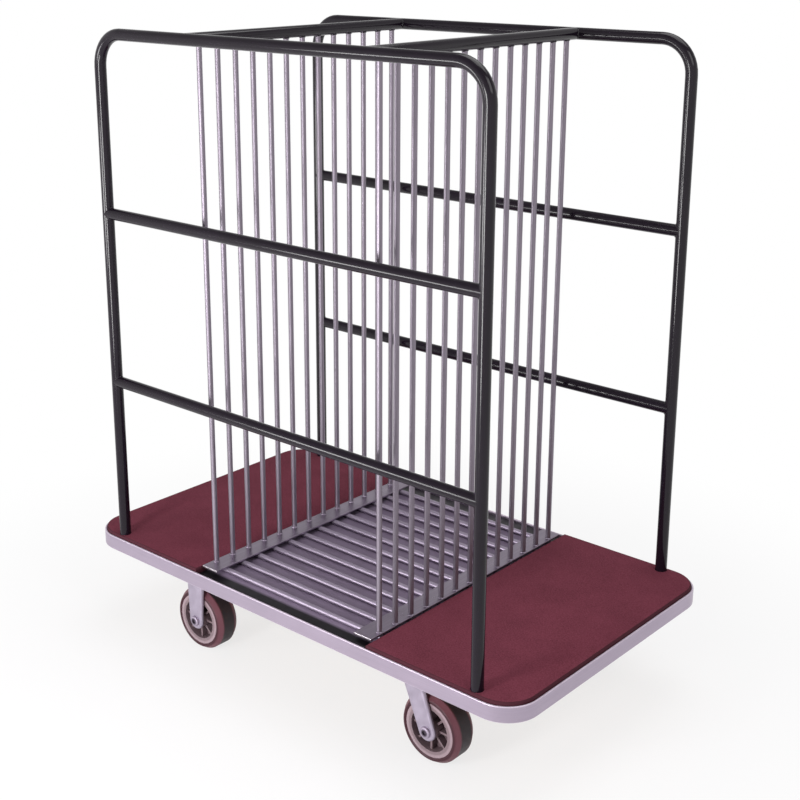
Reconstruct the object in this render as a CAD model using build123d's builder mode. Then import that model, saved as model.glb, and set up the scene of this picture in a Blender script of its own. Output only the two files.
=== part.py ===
from build123d import *
import math
import os

# Transport trolley for round table tops, which stand on edge between rods. All sizes in millimetres.
# The origin is on the floor under the middle of the deck: X along the deck, Y across it, Z up.
# The near side is -Y. The fixed casters are at the left end, -X, and the swivel casters at the right.

# Deck
deck_length = 1067.0
deck_width = 610.0
deck_corner_radius = 64.0
board_thickness = 19.0
board_clearance = 0.2  # board edge to the inside of the band
band_wall = 4.0
band_height = 29.0
band_skirt = 3.0  # length of band below the board
band_edge_round = 1.6

# Carpeted end panels, and the rubber mat between them
panel_thickness = 7.0
panel_clearance = 0.5  # carpet to band, and carpet to panel
carpet_pile = 6.0  # carpet above the panel board
carpet_wrap = 2.5  # carpet turned down over the panel's edges
carpet_edge_round = 3.0
mat_thickness = 2.0
mat_clearance = 1.0
panel_bar_gap = 2.0  # carpet to the base bar beside it

# Side frames, rails and cross tubes, all of one tube
tube_diameter = 22.0
tube_wall = 1.5
upright_end_inset = 86.5  # tube centre line to the end of the deck
tube_edge_gap = 7.0  # tube to the outer face of the band
frame_height = 992.0  # carpet to the centre line of the top tube
bend_radius = 60.0
rail_step = 334.0  # top tube to upper rail, and upper rail to lower rail
weld_gap = 0.1  # left between welded tubes and rods
carpet_tube_clearance = 0.5
panel_tube_clearance = 2.0

# Rack of rods: rows of uprights on flat bars, and rods along the floor of every divider
row_spacing = 418.0
divider_count = 13
outer_rod_inset = 32.0  # centre line of a side frame to the nearest rods
rod_diameter = 10.0
floor_rod_overrun = 5.0  # floor rod past the row of uprights
bar_width = 40.0
bar_end_inset = 20.0  # end of a bar to the side of the deck
bar_thickness = 4.0
bar_edge_round = 1.0
bar_overhang = 7.0  # bar past the row of uprights, towards the carpet

# Bolts that hold the side frames down
plug_length = 35.0
plug_clearance = 0.05
frame_bolt_diameter = 8.0
frame_bolt_grip = 25.0  # bolt inside the plug
frame_bolt_head = 5.3
frame_bolt_flats = 13.0
washer_diameter = 20.0
washer_thickness = 2.0

# Caster positions and mounting plates
caster_end_inset = 256.0  # swivel axis, or fixed axle, to the end of the deck
caster_side_inset = 82.0  # middle of a wheel to the side of the deck
swivel_head_height = 53.0  # top of a wheel to the underside of the base board
plate_length = 114.0
plate_width = 102.0
plate_thickness = 5.0
plate_corner_radius = 8.0
plate_edge_round = 1.0
plate_hole_spacing_x = 92.0
plate_hole_spacing_y = 67.0
caster_bolt_diameter = 8.0
caster_bolt_head_diameter = 16.0
caster_bolt_end = 3.0  # thread past the nut
caster_nut_flats = 13.0
caster_nut_height = 6.5
hole_clearance = 0.3
hex_chamfer_angle = 30.0
hex_face_inset = 0.4  # edge of the round end face inside the flats

# Forks and swivel heads
fork_clearance = 1.5  # tyre to the turned-in edges of the legs
fork_wall = 3.5
fork_flange = 3.0  # depth of the turned-in edge behind the wall
fork_end_radius = 18.0
fork_edge_round = 4.5
fork_inner_bend = 3.0
fixed_leg_width = 46.0  # at the plate
trail = 39.0  # axle behind the swivel axis
crown_diameter = 79.0
crown_thickness = 6.0
race_gap = 7.0  # plate to crown
race_diameter = 48.0
ball_diameter = 8.0
ball_count = 10
ball_clearance = 0.05
kingpin_diameter = 14.0
kingpin_clearance = 0.05
kingpin_flange_diameter = 36.0
kingpin_flange = 4.0
kingpin_flange_gap = 0.3
kingpin_head_flats = 24.0
kingpin_head = 7.0

# Wheels and axles
wheel_diameter = 127.0
wheel_width = 50.8
tyre_thickness = 12.5
tyre_lip = 2.5  # height of the slope between the rim and the flat of the sidewall
shoulder_height = 6.5
shoulder_width = 10.0
shoulder_round = 5.0
tread_round = 18.0
rim_thickness = 11.0
rim_recess = 1.5  # face of the rim behind the sidewall
rim_inner_round = 3.5
rim_outer_round = 1.0
web_thickness = 9.0
hub_radius = 17.0
hub_stand = 1.0  # hub past the sidewall
hub_round = 1.5
rib_count = 8
rib_thickness = 4.0
rib_recess = 8.0  # edge of a rib behind the sidewall
tyre_clearance = 0.05
bearing_outer_radius = 10.0
spacer_radius = 6.4
running_clearance = 0.05
press_clearance = 0.02
axle_diameter = 10.0
axle_clearance = 0.1
axle_head_diameter = 21.0
axle_head = 4.5
axle_head_round = 3.0
axle_socket_flats = 8.0
axle_socket_depth = 3.0
axle_nut_flats = 16.0
axle_nut = 8.0
axle_end = 3.0  # thread past the nut
spacer_end_clearance = 0.1

# Levels and places that follow from the sizes above
caster_height = wheel_diameter + swivel_head_height  # floor to the underside of the base board
board_top = caster_height + board_thickness
band_bottom = caster_height - band_skirt
carpet_top = board_top + panel_thickness + carpet_pile
mat_top = board_top + mat_thickness
tube_radius = tube_diameter / 2
tube_bore = tube_radius - tube_wall
upright_x = deck_length / 2 - upright_end_inset
frame_y = deck_width / 2 - tube_edge_gap - tube_radius
top_tube_z = carpet_top + frame_height
rail_levels = {"upper_rail": top_tube_z - rail_step, "lower_rail": top_tube_z - 2 * rail_step}
row_x = row_spacing / 2
rod_radius = rod_diameter / 2
floor_rod_z = mat_top + rod_radius
bar_bottom = floor_rod_z + rod_radius + weld_gap
bar_top = bar_bottom + bar_thickness
bar_x = row_x + bar_overhang - bar_width / 2
panel_inner_x = row_x + bar_overhang + panel_bar_gap
panel_inset = band_wall + panel_clearance
frame_feet = [(sx * upright_x, sy * frame_y) for sx in (-1, 1) for sy in (-1, 1)]
caster_x = deck_length / 2 - caster_end_inset
caster_y = deck_width / 2 - caster_side_inset
plate_bottom = caster_height - plate_thickness
axle_z = wheel_diameter / 2
wheel_radius = wheel_diameter / 2
rim_outer_radius = wheel_radius - tyre_thickness
rim_inner_radius = rim_outer_radius - rim_thickness
rim_width = wheel_width - 2 * rim_recess
hub_width = wheel_width + 2 * hub_stand
fork_inner = wheel_width / 2 + fork_clearance
fork_wall_face = fork_inner + fork_flange
fork_outer = fork_wall_face + fork_wall
crown_top = plate_bottom - race_gap
crown_bottom = crown_top - crown_thickness
race_radius = race_diameter / 2
ball_z = (plate_bottom + crown_top) / 2
axle_radius = axle_diameter / 2
sides = {"near": -1, "far": 1}
ends = {"left": -1, "right": 1}

os.makedirs("parts", exist_ok=True)


def save(piece, node):
    piece.label = node
    export_step(piece, f"parts/{node}.step")


def divider_places():
    outer_rod_y = frame_y - outer_rod_inset
    divider_pitch = 2 * outer_rod_y / (divider_count - 1)
    return [-outer_rod_y + i * divider_pitch for i in range(divider_count)]


def plate_holes(x, y):
    half_x = plate_hole_spacing_x / 2
    half_y = plate_hole_spacing_y / 2
    return [(x + sx * half_x, y + sy * half_y) for sx in (-1, 1) for sy in (-1, 1)]


# Hexagon of a nut or bolt head, standing on Z = 0, with its top corners chamfered
def hex_block(flats, height):
    corner_radius = flats / 3**0.5
    face_radius = flats / 2 - hex_face_inset
    chamfer_height = (corner_radius - face_radius) * math.tan(math.radians(hex_chamfer_angle))
    with BuildPart() as block:
        with BuildSketch():
            RegularPolygon(flats / 2, 6, major_radius=False)
        extrude(amount=height)
        with BuildSketch(Plane.XZ):
            with BuildLine():
                Polyline(
                    (0, 0),
                    (corner_radius, 0),
                    (corner_radius, height - chamfer_height),
                    (face_radius, height),
                    (0, height),
                    close=True,
                )
            make_face()
        revolve(axis=Axis.Z, mode=Mode.INTERSECT)
    return block.part


caster_places = [(sx * caster_x, sy * caster_y) for sx in (-1, 1) for sy in (-1, 1)]
caster_bolt_places = [hole for x, y in caster_places for hole in plate_holes(x, y)]


# Base board: plywood, countersunk from above for the caster bolts
board_inset = band_wall + board_clearance
with BuildPart() as base_board:
    with BuildSketch(Plane.XY.offset(caster_height)):
        RectangleRounded(
            deck_length - 2 * board_inset,
            deck_width - 2 * board_inset,
            deck_corner_radius - board_inset,
        )
    extrude(amount=board_thickness)
    with Locations(*[(x, y, board_top) for x, y in caster_bolt_places]):
        CounterSinkHole(
            radius=caster_bolt_diameter / 2 + hole_clearance,
            counter_sink_radius=caster_bolt_head_diameter / 2 + hole_clearance,
            counter_sink_angle=90,
        )
    with Locations(*[(x, y, board_top) for x, y in frame_feet]):
        Hole(radius=frame_bolt_diameter / 2 + hole_clearance)
base_board.part.label = "base_board"
export_step(base_board.part, "parts/base_board.step")


# Edge band: a metal strip round the deck, with its edges rounded
with BuildPart() as edge_band:
    with BuildSketch(Plane.XY.offset(band_bottom)):
        RectangleRounded(deck_length, deck_width, deck_corner_radius)
        RectangleRounded(
            deck_length - 2 * band_wall,
            deck_width - 2 * band_wall,
            deck_corner_radius - band_wall,
            mode=Mode.SUBTRACT,
        )
    extrude(amount=band_height)
    band_edges = edge_band.edges().group_by(Axis.Z)
    fillet(band_edges[0] + band_edges[-1], radius=band_edge_round)
edge_band.part.label = "edge_band"
export_step(edge_band.part, "parts/edge_band.step")


# End panels: a thin board wrapped in carpet, let in round the feet of the side frames
def panel_outline(end, inset):
    length = deck_length / 2 - panel_inner_x - (inset - panel_inset)
    with BuildSketch() as outline:
        RectangleRounded(deck_length - 2 * inset, deck_width - 2 * inset, deck_corner_radius - inset)
        with Locations((end * (deck_length / 2 - length / 2), 0)):
            Rectangle(length, deck_width, mode=Mode.INTERSECT)
    return outline.sketch


for end_name, end in ends.items():
    feet = [(x, y, board_top) for x, y in frame_feet if x * end > 0]
    board_outline = panel_outline(end, panel_inset + carpet_wrap + panel_clearance)
    pocket_outline = panel_outline(end, panel_inset + carpet_wrap)
    carpet_outline = panel_outline(end, panel_inset)
    with BuildPart() as panel_board:
        with BuildSketch(Plane.XY.offset(board_top)):
            add(board_outline)
            with Locations(*[(x, y) for x, y, z in feet]):
                Circle(tube_radius + panel_tube_clearance, mode=Mode.SUBTRACT)
        extrude(amount=panel_thickness)
    save(panel_board.part, f"{end_name}_panel_board")

    with BuildPart() as carpet:
        with BuildSketch(Plane.XY.offset(board_top)):
            add(carpet_outline)
        extrude(amount=panel_thickness + carpet_pile)
        fillet(carpet.edges().group_by(Axis.Z)[-1], radius=carpet_edge_round)
        with BuildSketch(Plane.XY.offset(board_top)):
            add(pocket_outline)
        extrude(amount=panel_thickness, mode=Mode.SUBTRACT)
        with BuildSketch(Plane.XY.offset(board_top)):
            with Locations(*[(x, y) for x, y, z in feet]):
                Circle(tube_radius + carpet_tube_clearance)
        extrude(amount=panel_thickness + carpet_pile, mode=Mode.SUBTRACT)
    save(carpet.part, f"{end_name}_carpet")


# Rubber mat on the board between the panels
with BuildPart() as rubber_mat:
    with BuildSketch(Plane.XY.offset(board_top)):
        Rectangle(2 * (panel_inner_x - mat_clearance), deck_width - 2 * panel_inset)
    extrude(amount=mat_thickness)
rubber_mat.part.label = "rubber_mat"
export_step(rubber_mat.part, "parts/rubber_mat.step")


# Side frames: one tube bent into an arch, standing on the board, with two rails welded across
def tube_section():
    Circle(tube_radius)
    Circle(tube_bore, mode=Mode.SUBTRACT)


for side_name, side in sides.items():
    y = side * frame_y
    with BuildPart() as frame_tube:
        with BuildLine():
            FilletPolyline(
                (-upright_x, y, board_top),
                (-upright_x, y, top_tube_z),
                (upright_x, y, top_tube_z),
                (upright_x, y, board_top),
                radius=bend_radius,
            )
        with BuildSketch(Plane((-upright_x, y, board_top))):
            tube_section()
        sweep()
    save(frame_tube.part, f"{side_name}_frame_tube")

    for rail_name, z in rail_levels.items():
        with BuildPart() as rail:
            with BuildSketch(Plane((-upright_x, y, z), x_dir=(0, 1, 0), z_dir=(1, 0, 0))):
                tube_section()
            extrude(amount=2 * upright_x)
            with Locations((-upright_x, y, z), (upright_x, y, z)):
                Cylinder(tube_radius + weld_gap, 2 * tube_diameter, mode=Mode.SUBTRACT)
        save(rail.part, f"{side_name}_{rail_name}")


# Rack: a cross tube, a flat bar and a row of uprights at each end, and the rods along the floor
for end_name, end in ends.items():
    x = end * row_x
    with BuildPart() as cross_tube:
        with BuildSketch(Plane((x, -frame_y, top_tube_z), x_dir=(1, 0, 0), z_dir=(0, 1, 0))):
            tube_section()
        extrude(amount=2 * frame_y)
        with Locations((x, -frame_y, top_tube_z), (x, frame_y, top_tube_z)):
            Cylinder(
                tube_radius + weld_gap,
                2 * tube_diameter,
                rotation=(0, 90, 0),
                mode=Mode.SUBTRACT,
            )
    save(cross_tube.part, f"{end_name}_cross_tube")

    with BuildPart() as base_bar:
        with BuildSketch(Plane.XY.offset(bar_bottom)):
            with Locations((end * bar_x, 0)):
                Rectangle(bar_width, deck_width - 2 * bar_end_inset)
        extrude(amount=bar_thickness)
        fillet(base_bar.edges(), radius=bar_edge_round)
    save(base_bar.part, f"{end_name}_base_bar")

    with BuildPart() as uprights:
        with BuildSketch(Plane.XY.offset(bar_top)):
            with Locations(*[(x, place) for place in divider_places()]):
                Circle(rod_radius)
        extrude(amount=top_tube_z - bar_top)
        with Locations((x, 0, top_tube_z)):
            Cylinder(
                tube_radius + weld_gap,
                deck_width,
                rotation=(90, 0, 0),
                mode=Mode.SUBTRACT,
            )
    save(uprights.part, f"{end_name}_uprights")

with BuildPart() as floor_rods:
    with BuildSketch(Plane.YZ.offset(-row_x - floor_rod_overrun)):
        with Locations(*[(place, floor_rod_z) for place in divider_places()]):
            Circle(rod_radius)
    extrude(amount=row_spacing + 2 * floor_rod_overrun)
floor_rods.part.label = "floor_rods"
export_step(floor_rods.part, "parts/floor_rods.step")


# Feet of the side frames: a plug in each tube end, bolted down through the board
with BuildPart() as tube_plugs:
    with BuildSketch(Plane.XY.offset(board_top)):
        with Locations(*frame_feet):
            Circle(tube_bore - plug_clearance)
            Circle(frame_bolt_diameter / 2 + plug_clearance, mode=Mode.SUBTRACT)
    extrude(amount=plug_length)
tube_plugs.part.label = "tube_plugs"
export_step(tube_plugs.part, "parts/tube_plugs.step")

washer_bottom = caster_height - washer_thickness
with BuildPart() as frame_washers:
    with BuildSketch(Plane.XY.offset(washer_bottom)):
        with Locations(*frame_feet):
            Circle(washer_diameter / 2)
            Circle(frame_bolt_diameter / 2 + hole_clearance, mode=Mode.SUBTRACT)
    extrude(amount=washer_thickness)
frame_washers.part.label = "frame_washers"
export_step(frame_washers.part, "parts/frame_washers.step")

frame_bolt_hex = hex_block(frame_bolt_flats, frame_bolt_head)
with BuildPart() as frame_bolts:
    with BuildSketch(Plane.XY.offset(washer_bottom)):
        with Locations(*frame_feet):
            Circle(frame_bolt_diameter / 2)
    extrude(amount=board_top + frame_bolt_grip - washer_bottom)
    with Locations(*[Location((x, y, washer_bottom), (180, 0, 0)) for x, y in frame_feet]):
        add(frame_bolt_hex)
frame_bolts.part.label = "frame_bolts"
export_step(frame_bolts.part, "parts/frame_bolts.step")


# Caster bolts, flush with the board, and the nuts under the plates
bolt_head_height = (caster_bolt_head_diameter - caster_bolt_diameter) / 2
nut_bottom = plate_bottom - caster_nut_height
with BuildPart() as caster_bolts:
    with BuildSketch(Plane.XY.offset(nut_bottom - caster_bolt_end)):
        with Locations(*caster_bolt_places):
            Circle(caster_bolt_diameter / 2)
    extrude(amount=board_top - nut_bottom + caster_bolt_end)
    with Locations(*[(x, y, board_top - bolt_head_height / 2) for x, y in caster_bolt_places]):
        Cone(caster_bolt_diameter / 2, caster_bolt_head_diameter / 2, bolt_head_height)
caster_bolts.part.label = "caster_bolts"
export_step(caster_bolts.part, "parts/caster_bolts.step")

caster_nut_hex = hex_block(caster_nut_flats, caster_nut_height)
with BuildPart() as caster_nuts:
    with Locations(*[Location((x, y, plate_bottom), (180, 0, 0)) for x, y in caster_bolt_places]):
        add(caster_nut_hex)
    with Locations(*[(x, y, plate_bottom) for x, y in caster_bolt_places]):
        Hole(radius=caster_bolt_diameter / 2 + running_clearance)
caster_nuts.part.label = "caster_nuts"
export_step(caster_nuts.part, "parts/caster_nuts.step")


# Caster wheel: a ribbed core with a tyre moulded on it and a bearing sleeve pressed into its hub
def wheel_core(x, y):
    with BuildPart() as core:
        with BuildSketch(Plane((x, y, axle_z))) as section:
            Rectangle(rim_outer_radius, rim_width, align=(Align.MIN, Align.CENTER))
            Rectangle(rim_inner_radius, rim_width, align=(Align.MIN, Align.CENTER), mode=Mode.SUBTRACT)
            Rectangle(rim_inner_radius, web_thickness, align=(Align.MIN, Align.CENTER))
            Rectangle(hub_radius, hub_width, align=(Align.MIN, Align.CENTER))
            Rectangle(
                bearing_outer_radius + press_clearance,
                hub_width,
                align=(Align.MIN, Align.CENTER),
                mode=Mode.SUBTRACT,
            )
            rows = section.vertices().group_by(Axis.Y)
            hub_corners = (rows[0] + rows[-1]).group_by(Axis.X)[-1]
            rim_corners = (rows[1] + rows[-2]).group_by(Axis.X)
            fillet(hub_corners, radius=hub_round)
            fillet(rim_corners[0], radius=rim_inner_round)
            fillet(rim_corners[-1], radius=rim_outer_round)
        revolve(axis=Axis((x, y, axle_z), (0, 1, 0)))
        with BuildSketch(Plane((x, y, axle_z), x_dir=(1, 0, 0), z_dir=(0, -1, 0))):
            with PolarLocations((hub_radius + rim_inner_radius) / 2, rib_count):
                Rectangle(rim_inner_radius - hub_radius + rib_thickness, rib_thickness)
        extrude(amount=wheel_width / 2 - rib_recess, both=True)
    return core.part


def wheel_tyre(x, y):
    sidewall_inner_radius = rim_outer_radius + tyre_lip
    sidewall_outer_radius = wheel_radius - shoulder_height
    half_tread = wheel_width / 2 - shoulder_width
    with BuildPart() as tyre:
        with BuildSketch(Plane((x, y, axle_z))) as section:
            with BuildLine():
                Polyline(
                    (rim_outer_radius + tyre_clearance, -rim_width / 2),
                    (sidewall_inner_radius, -wheel_width / 2),
                    (sidewall_outer_radius, -wheel_width / 2),
                    (wheel_radius, -half_tread),
                    (wheel_radius, half_tread),
                    (sidewall_outer_radius, wheel_width / 2),
                    (sidewall_inner_radius, wheel_width / 2),
                    (rim_outer_radius + tyre_clearance, rim_width / 2),
                    close=True,
                )
            make_face()
            corners = section.vertices().group_by(Axis.X)
            fillet(corners[2], radius=shoulder_round)
            fillet(corners[3], radius=tread_round)
        revolve(axis=Axis((x, y, axle_z), (0, 1, 0)))
    return tyre.part


def sleeve(x, y, outer_radius, inner_radius, length):
    with BuildPart() as tube:
        with BuildSketch(Plane.XZ.offset(-y)):
            with Locations((x, axle_z)):
                Circle(outer_radius)
                Circle(inner_radius, mode=Mode.SUBTRACT)
        extrude(amount=length / 2, both=True)
    return tube.part


# Axle bolt, with a low round head and a hexagon socket on the outside, and its nut on the inside
def axle_bolt(x, y, side):
    head_face = y + side * fork_outer
    end_face = y - side * (fork_outer + axle_nut + axle_end)
    with BuildPart() as head:
        with BuildSketch():
            Circle(axle_head_diameter / 2)
        extrude(amount=axle_head)
        fillet(head.edges().group_by(Axis.Z)[-1], radius=axle_head_round)
        with BuildSketch(Plane.XY.offset(axle_head)):
            RegularPolygon(axle_socket_flats / 2, 6, major_radius=False)
        extrude(amount=-axle_socket_depth, mode=Mode.SUBTRACT)
    with BuildPart() as bolt:
        with BuildSketch(Plane.XZ.offset(-end_face)):
            with Locations((x, axle_z)):
                Circle(axle_radius)
        extrude(amount=-side * abs(head_face - end_face))
        with Locations(Location((x, head_face, axle_z), (-90 * side, 0, 0))):
            add(head.part)
    return bolt.part


def axle_bolt_nut(x, y, side):
    with BuildPart() as nut:
        with Locations(Location((x, y - side * fork_outer, axle_z), (90 * side, 0, 0))):
            add(hex_block(axle_nut_flats, axle_nut))
            Hole(radius=axle_radius + running_clearance)
    return nut.part


def save_wheel_and_axle(caster, x, y, side):
    bearing_bore = spacer_radius + running_clearance
    save(wheel_core(x, y), f"{caster}_core")
    save(wheel_tyre(x, y), f"{caster}_tyre")
    save(sleeve(x, y, bearing_outer_radius, bearing_bore, hub_width), f"{caster}_bearing")
    spacer_length = 2 * (fork_wall_face - spacer_end_clearance)
    save(sleeve(x, y, spacer_radius, axle_radius + axle_clearance, spacer_length), f"{caster}_spacer")
    save(axle_bolt(x, y, side), f"{caster}_axle")
    save(axle_bolt_nut(x, y, side), f"{caster}_axle_nut")


# Fork legs: pressed from one sheet, with their edges turned in towards the wheel
def leg_outline(axle_x, top_x, top_width, top_bottom, top_height):
    with BuildSketch() as outline:
        with Locations((axle_x, axle_z)):
            Circle(fork_end_radius)
        with Locations((top_x, top_bottom)):
            Rectangle(top_width, top_height, align=(Align.CENTER, Align.MIN))
        make_hull()
    return outline.sketch


def fork_hollow(outline, y, axle_x, top):
    room = 4 * wheel_diameter
    with BuildPart() as hollow:
        with BuildSketch(Plane.XZ.offset(-y)):
            with Locations((axle_x, top)):
                Rectangle(room, room, align=(Align.CENTER, Align.MAX))
        extrude(amount=fork_inner, both=True)
        with BuildSketch(Plane.XZ.offset(-y)):
            add(outline)
            offset(amount=-fork_wall, mode=Mode.REPLACE)
            with Locations((axle_x, top - fork_inner_bend)):
                Rectangle(room, room, align=(Align.CENTER, Align.MAX), mode=Mode.INTERSECT)
        extrude(amount=fork_wall_face, both=True)
        with BuildSketch(Plane.XZ.offset(-y)):
            with Locations((axle_x, axle_z)):
                Circle(axle_radius + axle_clearance)
        extrude(amount=fork_outer, both=True)
    return hollow.part


# Fixed fork: straight legs under a mounting plate
def fixed_fork(x, y):
    outline = leg_outline(x, x, fixed_leg_width, plate_bottom, plate_thickness)
    hollow = fork_hollow(outline, y, x, plate_bottom)
    with BuildPart() as plate:
        with BuildSketch(Plane((x, y, plate_bottom))):
            RectangleRounded(plate_length, plate_width, plate_corner_radius)
        extrude(amount=plate_thickness)
        fillet(plate.edges().group_by(Axis.Z)[0], radius=plate_edge_round)
    with BuildPart() as fork:
        with BuildSketch(Plane.XZ.offset(-y)):
            add(outline)
        extrude(amount=fork_outer, both=True)
        rows = fork.edges().group_by(Axis.Y)
        fillet(rows[0] + rows[-1], radius=fork_edge_round)
        add(hollow, mode=Mode.SUBTRACT)
        add(plate.part)
        with Locations(*[(hx, hy, caster_height) for hx, hy in plate_holes(x, y)]):
            Hole(radius=caster_bolt_diameter / 2 + hole_clearance)
    return fork.part


# Swivel head: the plate and the fork's crown run on a ring of balls, held together by the kingpin
def ball_track(x, y):
    with BuildPart() as track:
        with BuildSketch(Plane.XZ.offset(-y)):
            with Locations((x + race_radius, ball_z)):
                Circle(ball_diameter / 2 + ball_clearance)
        revolve(axis=Axis((x, y, 0), (0, 0, 1)))
    return track.part


def swivel_plate(x, y):
    track = ball_track(x, y)
    with BuildPart() as plate:
        with BuildSketch(Plane((x, y, plate_bottom))):
            RectangleRounded(plate_length, plate_width, plate_corner_radius)
            Circle(kingpin_diameter / 2 + press_clearance, mode=Mode.SUBTRACT)
        extrude(amount=plate_thickness)
        plate_outline = plate.faces().sort_by(Axis.Z)[0].outer_wire().edges()
        fillet(plate_outline, radius=plate_edge_round)
        with Locations(*[(hx, hy, caster_height) for hx, hy in plate_holes(x, y)]):
            Hole(radius=caster_bolt_diameter / 2 + hole_clearance)
        add(track, mode=Mode.SUBTRACT)
    return plate.part


def swivel_balls(x, y):
    with BuildPart() as balls:
        with Locations((x, y, ball_z)):
            with PolarLocations(race_radius, ball_count):
                Sphere(ball_diameter / 2)
    return balls.part


def kingpin(x, y):
    flange_top = crown_bottom - kingpin_flange_gap
    flange_bottom = flange_top - kingpin_flange
    with BuildPart() as pin:
        with BuildSketch(Plane((x, y, flange_bottom))):
            Circle(kingpin_diameter / 2)
        extrude(amount=caster_height - flange_bottom)
        with BuildSketch(Plane((x, y, flange_bottom))):
            Circle(kingpin_flange_diameter / 2)
        extrude(amount=kingpin_flange)
        with Locations(Location((x, y, flange_bottom), (180, 0, 0))):
            add(hex_block(kingpin_head_flats, kingpin_head))
    return pin.part


def swivel_fork(x, y):
    track = ball_track(x, y)
    crown_flat = 2 * (((crown_diameter / 2) ** 2 - fork_outer**2) ** 0.5)
    outline = leg_outline(x + trail, x, crown_flat, crown_bottom, crown_thickness)
    hollow = fork_hollow(outline, y, x + trail, crown_bottom)
    with BuildPart() as fork:
        with BuildSketch(Plane.XZ.offset(-y)):
            add(outline)
        extrude(amount=fork_outer, both=True)
        rows = fork.edges().group_by(Axis.Y)
        fillet(rows[0] + rows[-1], radius=fork_edge_round)
        add(hollow, mode=Mode.SUBTRACT)
        with BuildSketch(Plane((x, y, crown_bottom))):
            Circle(crown_diameter / 2)
            Rectangle(crown_diameter, 2 * (fork_outer - fork_edge_round), mode=Mode.INTERSECT)
        extrude(amount=crown_thickness)
        with BuildSketch(Plane((x, y, crown_bottom))):
            Circle(kingpin_diameter / 2 + kingpin_clearance)
        extrude(amount=crown_thickness, mode=Mode.SUBTRACT)
        add(track, mode=Mode.SUBTRACT)
    return fork.part


for side_name, side in sides.items():
    y = side * caster_y
    fixed = f"{side_name}_fixed"
    save(fixed_fork(-caster_x, y), f"{fixed}_fork")
    save_wheel_and_axle(fixed, -caster_x, y, side)

    swivel = f"{side_name}_swivel"
    save(swivel_plate(caster_x, y), f"{swivel}_plate")
    save(swivel_balls(caster_x, y), f"{swivel}_balls")
    save(kingpin(caster_x, y), f"{swivel}_kingpin")
    save(swivel_fork(caster_x, y), f"{swivel}_fork")
    save_wheel_and_axle(swivel, caster_x + trail, y, side)
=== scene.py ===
import math

import bpy
from mathutils import Matrix, Vector


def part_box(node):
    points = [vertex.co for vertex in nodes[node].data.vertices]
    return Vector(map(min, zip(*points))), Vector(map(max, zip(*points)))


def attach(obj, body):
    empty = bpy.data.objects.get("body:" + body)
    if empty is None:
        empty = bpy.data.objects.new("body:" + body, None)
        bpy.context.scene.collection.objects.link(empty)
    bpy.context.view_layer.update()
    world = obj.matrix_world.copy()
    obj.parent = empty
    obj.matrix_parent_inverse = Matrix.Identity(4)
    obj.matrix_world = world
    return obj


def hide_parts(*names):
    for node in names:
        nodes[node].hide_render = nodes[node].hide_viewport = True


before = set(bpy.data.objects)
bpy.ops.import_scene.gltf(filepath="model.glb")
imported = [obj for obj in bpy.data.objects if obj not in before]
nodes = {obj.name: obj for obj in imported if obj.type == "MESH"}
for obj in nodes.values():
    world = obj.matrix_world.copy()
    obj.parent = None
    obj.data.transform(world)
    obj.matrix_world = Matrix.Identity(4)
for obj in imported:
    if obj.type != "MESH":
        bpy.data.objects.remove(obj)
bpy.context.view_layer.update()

# Table transport trolley: a carpeted deck on four casters, two black arches and a rack of plated rods.
# Everything is in metres. X runs along the deck, Y across it with the near side at -Y, and Z is up.

print("frame loaded:", len(nodes), "nodes")


def mm(size):
    return size / 1000


def perMetre(size):
    return 1000 / size  # texture scale for a pattern of so many millimetres


def linear(hexColour):
    def channel(text):
        value = int(text, 16) / 255
        return value / 12.92 if value <= 0.04045 else ((value + 0.055) / 1.055) ** 2.4
    return tuple(channel(hexColour[i:i + 2]) for i in (0, 2, 4)) + (1.0,)


# Adds a node. Settings go to its inputs or properties, and links come from nodes or their outputs.
def addNode(tree, kind, settings=None, links=None):
    def inputNamed(name):
        found = [s for s in node.inputs if s.enabled and name in (s.name, s.identifier)]
        return found[0] if found else None

    node = tree.nodes.new(kind)
    for name, value in (settings or {}).items():
        if inputNamed(name):
            inputNamed(name).default_value = value
        else:
            setattr(node, name, value)
    for name, source in (links or {}).items():
        if isinstance(source, bpy.types.Node):
            source = [s for s in source.outputs if s.enabled][0]
        tree.links.new(source, inputNamed(name))
    return node


def startMaterial(name):
    material = bpy.data.materials.new(name)
    material.use_nodes = True
    tree = material.node_tree
    tree.nodes.clear()
    place = addNode(tree, "ShaderNodeTexCoord").outputs["Object"]
    return material, tree, place


def endMaterial(tree, settings, links):
    shader = addNode(tree, "ShaderNodeBsdfPrincipled", settings, links)
    addNode(tree, "ShaderNodeOutputMaterial", {}, {"Surface": shader})


noiseSpan = {"From Min": 0.3, "From Max": 0.7}  # nearly all of a noise texture lies in this range

# Stove enamel on steel tube: deep gloss black, with faint orange peel and a little dust
enamel = {"black": "110a13", "dusty": "1b131e", "peel": 3.5, "dust": 80, "gloss": 0.11, "dull": 0.18}
blackEnamel, tree, place = startMaterial("gloss black enamel")
peel = addNode(tree, "ShaderNodeTexNoise", {"Scale": perMetre(enamel["peel"]), "Detail": 2.0},
               {"Vector": place})
dust = addNode(tree, "ShaderNodeTexNoise", {"Scale": perMetre(enamel["dust"]), "Detail": 5.0},
               {"Vector": place})
tone = addNode(tree, "ShaderNodeMix",
               {"data_type": "RGBA", "A": linear(enamel["black"]), "B": linear(enamel["dusty"])},
               {"Factor": dust})
shine = addNode(tree, "ShaderNodeMapRange",
                {**noiseSpan, "To Min": enamel["gloss"], "To Max": enamel["dull"]}, {"Value": dust})
relief = addNode(tree, "ShaderNodeBump", {"Strength": 0.015, "Distance": mm(0.2)}, {"Height": peel})
endMaterial(tree, {"IOR": 1.5, "Specular IOR Level": 0.3},
            {"Base Color": tone, "Roughness": shine, "Normal": relief})


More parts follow.
